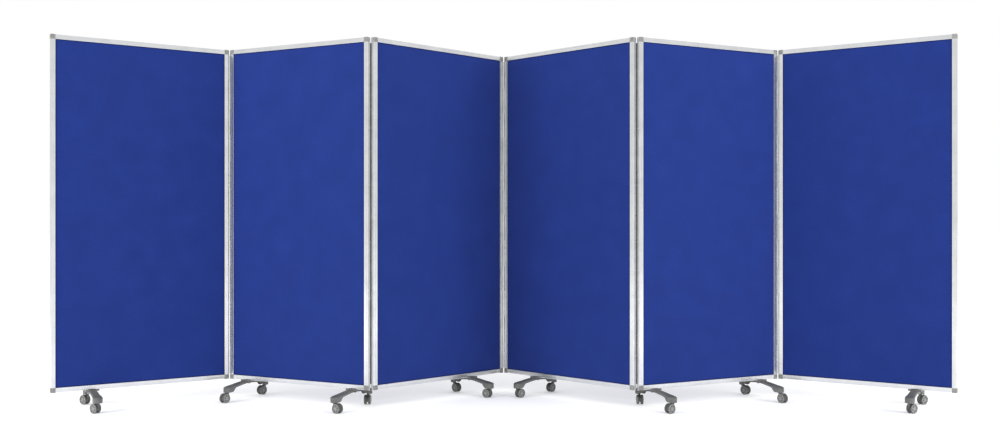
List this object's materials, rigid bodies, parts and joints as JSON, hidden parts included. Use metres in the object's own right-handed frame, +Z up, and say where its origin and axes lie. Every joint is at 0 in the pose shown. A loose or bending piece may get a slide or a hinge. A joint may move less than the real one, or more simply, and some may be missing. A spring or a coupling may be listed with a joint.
{
  "type": "partition wall",
  "caption": "Mobile folding partition wall: felt-covered panels in aluminium frames, hinged in a zigzag, on cross feet with twin-wheel castors.",
  "frame": {"origin": "on the floor, under the middle of the wall's overall outline", "axes": "+X along the wall to the viewer's right, +Z up, the viewer stands on the -Y side"},
  "size_m": [4.5594, 0.749, 1.9008],
  "materials": {
    "frame": "clear anodised, satin",
    "felt": "needled polyester felt over a soft board",
    "caps": "moulded, fine grain",
    "feet": "moulded, fine grain",
    "pins": "drawn",
    "castor_housing": "moulded",
    "wheels": "moulded, worn on the tread"
  },
  "bodies": {
    "panel_1": {"panel_1_frame": "frame", "panel_1_board": "felt", "panel_1_corner_caps": "caps", "panel_1_feet": "feet"},
    "panel_2": {"panel_2_frame": "frame", "panel_2_board": "felt", "panel_2_corner_caps": "caps", "panel_2_feet": "feet", "hinge_pins_left": "pins"},
    "panel_3": {"panel_3_frame": "frame", "panel_3_board": "felt", "panel_3_corner_caps": "caps", "panel_3_feet": "feet", "hinge_pin_middle": "pins"},
    "panel_4": {"panel_4_frame": "frame", "panel_4_board": "felt", "panel_4_corner_caps": "caps", "panel_4_feet": "feet"},
    "panel_5": {"panel_5_frame": "frame", "panel_5_board": "felt", "panel_5_corner_caps": "caps", "panel_5_feet": "feet", "hinge_pins_right": "pins"},
    "panel_6": {"panel_6_frame": "frame", "panel_6_board": "felt", "panel_6_corner_caps": "caps", "panel_6_feet": "feet"},
    "castor_1_end_front": {"castor_1_end_front_housing": "castor_housing"},
    "castor_1_end_front_wheels": {"castor_1_end_front_wheels": "wheels"},
    "castor_1_end_rear": {"castor_1_end_rear_housing": "castor_housing"},
    "castor_1_end_rear_wheels": {"castor_1_end_rear_wheels": "wheels"},
    "castor_2_outer_front": {"castor_2_outer_front_housing": "castor_housing"},
    "castor_2_outer_front_wheels": {"castor_2_outer_front_wheels": "wheels"},
    "castor_2_outer_rear": {"castor_2_outer_rear_housing": "castor_housing"},
    "castor_2_outer_rear_wheels": {"castor_2_outer_rear_wheels": "wheels"},
    "castor_2_inner_front": {"castor_2_inner_front_housing": "castor_housing"},
    "castor_2_inner_front_wheels": {"castor_2_inner_front_wheels": "wheels"},
    "castor_2_inner_rear": {"castor_2_inner_rear_housing": "castor_housing"},
    "castor_2_inner_rear_wheels": {"castor_2_inner_rear_wheels": "wheels"},
    "castor_3_middle_front": {"castor_3_middle_front_housing": "castor_housing"},
    "castor_3_middle_front_wheels": {"castor_3_middle_front_wheels": "wheels"},
    "castor_3_middle_rear": {"castor_3_middle_rear_housing": "castor_housing"},
    "castor_3_middle_rear_wheels": {"castor_3_middle_rear_wheels": "wheels"},
    "castor_4_middle_front": {"castor_4_middle_front_housing": "castor_housing"},
    "castor_4_middle_front_wheels": {"castor_4_middle_front_wheels": "wheels"},
    "castor_4_middle_rear": {"castor_4_middle_rear_housing": "castor_housing"},
    "castor_4_middle_rear_wheels": {"castor_4_middle_rear_wheels": "wheels"},
    "castor_5_outer_front": {"castor_5_outer_front_housing": "castor_housing"},
    "castor_5_outer_front_wheels": {"castor_5_outer_front_wheels": "wheels"},
    "castor_5_outer_rear": {"castor_5_outer_rear_housing": "castor_housing"},
    "castor_5_outer_rear_wheels": {"castor_5_outer_rear_wheels": "wheels"},
    "castor_5_inner_front": {"castor_5_inner_front_housing": "castor_housing"},
    "castor_5_inner_front_wheels": {"castor_5_inner_front_wheels": "wheels"},
    "castor_5_inner_rear": {"castor_5_inner_rear_housing": "castor_housing"},
    "castor_5_inner_rear_wheels": {"castor_5_inner_rear_wheels": "wheels"},
    "castor_6_end_front": {"castor_6_end_front_housing": "castor_housing"},
    "castor_6_end_front_wheels": {"castor_6_end_front_wheels": "wheels"},
    "castor_6_end_rear": {"castor_6_end_rear_housing": "castor_housing"},
    "castor_6_end_rear_wheels": {"castor_6_end_rear_wheels": "wheels"}
  },
  "joints": [
    {"name": "fold_1", "type": "hinge", "parent": "panel_2", "child": "panel_1", "pos_m": [-1.50278, 0.13551, 1], "axis": [0, 0, 1], "range_deg": [-58, 122]},
    {"name": "fold_2", "type": "hinge", "parent": "panel_3", "child": "panel_2", "pos_m": [-0.67888, -0.23741, 1], "axis": [0, 0, -1], "range_deg": [-69, 106]},
    {"name": "fold_3", "type": "hinge", "parent": "panel_3", "child": "panel_4", "pos_m": [0, 0.3601, 1], "axis": [0, 0, 1], "range_deg": [-6, 86]},
    {"name": "fold_4", "type": "hinge", "parent": "panel_4", "child": "panel_5", "pos_m": [0.67888, -0.23741, 1], "axis": [0, 0, 1], "range_deg": [-69, 106]},
    {"name": "fold_5", "type": "hinge", "parent": "panel_5", "child": "panel_6", "pos_m": [1.50278, 0.13551, 1], "axis": [0, 0, -1], "range_deg": [-58, 122]},
    {"name": "castor_1_end_front_swivel", "type": "hinge", "parent": "panel_1", "child": "castor_1_end_front", "pos_m": [-2.02551, -0.35268, 0.06], "axis": [0, 0, 1], "continuous": true},
    {"name": "castor_1_end_front_roll", "type": "hinge", "parent": "castor_1_end_front", "child": "castor_1_end_front_wheels", "pos_m": [-2.04197, -0.34318, 0.025], "axis": [-0.5, -0.866, 0], "continuous": true},
    {"name": "castor_1_end_rear_swivel", "type": "hinge", "parent": "panel_1", "child": "castor_1_end_rear", "pos_m": [-2.18449, -0.09826, 0.06], "axis": [0, 0, 1], "continuous": true},
    {"name": "castor_1_end_rear_roll", "type": "hinge", "parent": "castor_1_end_rear", "child": "castor_1_end_rear_wheels", "pos_m": [-2.20094, -0.08876, 0.025], "axis": [-0.5, -0.866, 0], "continuous": true},
    {"name": "castor_2_outer_front_swivel", "type": "hinge", "parent": "panel_2", "child": "castor_2_outer_front", "pos_m": [-1.46667, -0.03453, 0.06], "axis": [0, 0, 1], "continuous": true},
    {"name": "castor_2_outer_front_roll", "type": "hinge", "parent": "castor_2_outer_front", "child": "castor_2_outer_front_wheels", "pos_m": [-1.47617, -0.05099, 0.025], "axis": [0.866, -0.5, 0], "continuous": true},
    {"name": "castor_2_outer_rear_swivel", "type": "hinge", "parent": "panel_2", "child": "castor_2_outer_rear", "pos_m": [-1.33516, 0.23511, 0.06], "axis": [0, 0, 1], "continuous": true},
    {"name": "castor_2_outer_rear_roll", "type": "hinge", "parent": "castor_2_outer_rear", "child": "castor_2_outer_rear_wheels", "pos_m": [-1.34578, 0.21935, 0.025], "axis": [0.829, -0.5592, 0], "continuous": true},
    {"name": "castor_2_inner_front_swivel", "type": "hinge", "parent": "panel_2", "child": "castor_2_inner_front", "pos_m": [-0.8465, -0.33701, 0.06], "axis": [0, 0, 1], "continuous": true},
    {"name": "castor_2_inner_front_roll", "type": "hinge", "parent": "castor_2_inner_front", "child": "castor_2_inner_front_wheels", "pos_m": [-0.83094, -0.34791, 0.025], "axis": [0.5736, 0.8192, 0], "continuous": true},
    {"name": "castor_2_inner_rear_swivel", "type": "hinge", "parent": "panel_2", "child": "castor_2_inner_rear", "pos_m": [-0.71499, -0.06737, 0.06], "axis": [0, 0, 1], "continuous": true},
    {"name": "castor_2_inner_rear_roll", "type": "hinge", "parent": "castor_2_inner_rear", "child": "castor_2_inner_rear_wheels", "pos_m": [-0.71565, -0.08636, 0.025], "axis": [0.9994, -0.0349, 0], "continuous": true},
    {"name": "castor_3_middle_front_swivel", "type": "hinge", "parent": "panel_3", "child": "castor_3_middle_front", "pos_m": [-0.07478, 0.10304, 0.06], "axis": [0, 0, 1], "continuous": true},
    {"name": "castor_3_middle_front_roll", "type": "hinge", "parent": "castor_3_middle_front", "child": "castor_3_middle_front_wheels", "pos_m": [-0.08933, 0.11526, 0.025], "axis": [-0.6428, -0.766, 0], "continuous": true},
    {"name": "castor_3_middle_rear_swivel", "type": "hinge", "parent": "panel_3", "child": "castor_3_middle_rear", "pos_m": [-0.27938, 0.32245, 0.06], "axis": [0, 0, 1], "continuous": true},
    {"name": "castor_3_middle_rear_roll", "type": "hinge", "parent": "castor_3_middle_rear", "child": "castor_3_middle_rear_wheels", "pos_m": [-0.26666, 0.30833, 0.025], "axis": [0.7431, 0.6691, 0], "continuous": true},
    {"name": "castor_4_middle_front_swivel", "type": "hinge", "parent": "panel_4", "child": "castor_4_middle_front", "pos_m": [0.07478, 0.10304, 0.06], "axis": [0, 0, 1], "continuous": true},
    {"name": "castor_4_middle_front_roll", "type": "hinge", "parent": "castor_4_middle_front", "child": "castor_4_middle_front_wheels", "pos_m": [0.08933, 0.11526, 0.025], "axis": [0.6428, -0.766, 0], "continuous": true},
    {"name": "castor_4_middle_rear_swivel", "type": "hinge", "parent": "panel_4", "child": "castor_4_middle_rear", "pos_m": [0.27938, 0.32245, 0.06], "axis": [0, 0, 1], "continuous": true},
    {"name": "castor_4_middle_rear_roll", "type": "hinge", "parent": "castor_4_middle_rear", "child": "castor_4_middle_rear_wheels", "pos_m": [0.26666, 0.30833, 0.025], "axis": [-0.7431, 0.6691, 0], "continuous": true},
    {"name": "castor_5_outer_front_swivel", "type": "hinge", "parent": "panel_5", "child": "castor_5_outer_front", "pos_m": [1.46667, -0.03453, 0.06], "axis": [0, 0, 1], "continuous": true},
    {"name": "castor_5_outer_front_roll", "type": "hinge", "parent": "castor_5_outer_front", "child": "castor_5_outer_front_wheels", "pos_m": [1.47617, -0.05099, 0.025], "axis": [-0.866, -0.5, 0], "continuous": true},
    {"name": "castor_5_outer_rear_swivel", "type": "hinge", "parent": "panel_5", "child": "castor_5_outer_rear", "pos_m": [1.33516, 0.23511, 0.06], "axis": [0, 0, 1], "continuous": true},
    {"name": "castor_5_outer_rear_roll", "type": "hinge", "parent": "castor_5_outer_rear", "child": "castor_5_outer_rear_wheels", "pos_m": [1.34578, 0.21935, 0.025], "axis": [-0.829, -0.5592, 0], "continuous": true},
    {"name": "castor_5_inner_front_swivel", "type": "hinge", "parent": "panel_5", "child": "castor_5_inner_front", "pos_m": [0.8465, -0.33701, 0.06], "axis": [0, 0, 1], "continuous": true},
    {"name": "castor_5_inner_front_roll", "type": "hinge", "parent": "castor_5_inner_front", "child": "castor_5_inner_front_wheels", "pos_m": [0.83094, -0.34791, 0.025], "axis": [-0.5736, 0.8192, 0], "continuous": true},
    {"name": "castor_5_inner_rear_swivel", "type": "hinge", "parent": "panel_5", "child": "castor_5_inner_rear", "pos_m": [0.71499, -0.06737, 0.06], "axis": [0, 0, 1], "continuous": true},
    {"name": "castor_5_inner_rear_roll", "type": "hinge", "parent": "castor_5_inner_rear", "child": "castor_5_inner_rear_wheels", "pos_m": [0.71565, -0.08636, 0.025], "axis": [-0.9994, -0.0349, 0], "continuous": true},
    {"name": "castor_6_end_front_swivel", "type": "hinge", "parent": "panel_6", "child": "castor_6_end_front", "pos_m": [2.02551, -0.35268, 0.06], "axis": [0, 0, 1], "continuous": true},
    {"name": "castor_6_end_front_roll", "type": "hinge", "parent": "castor_6_end_front", "child": "castor_6_end_front_wheels", "pos_m": [2.04197, -0.34318, 0.025], "axis": [0.5, -0.866, 0], "continuous": true},
    {"name": "castor_6_end_rear_swivel", "type": "hinge", "parent": "panel_6", "child": "castor_6_end_rear", "pos_m": [2.18449, -0.09826, 0.06], "axis": [0, 0, 1], "continuous": true},
    {"name": "castor_6_end_rear_roll", "type": "hinge", "parent": "castor_6_end_rear", "child": "castor_6_end_rear_wheels", "pos_m": [2.20094, -0.08876, 0.025], "axis": [0.5, -0.866, 0], "continuous": true}
  ]
}
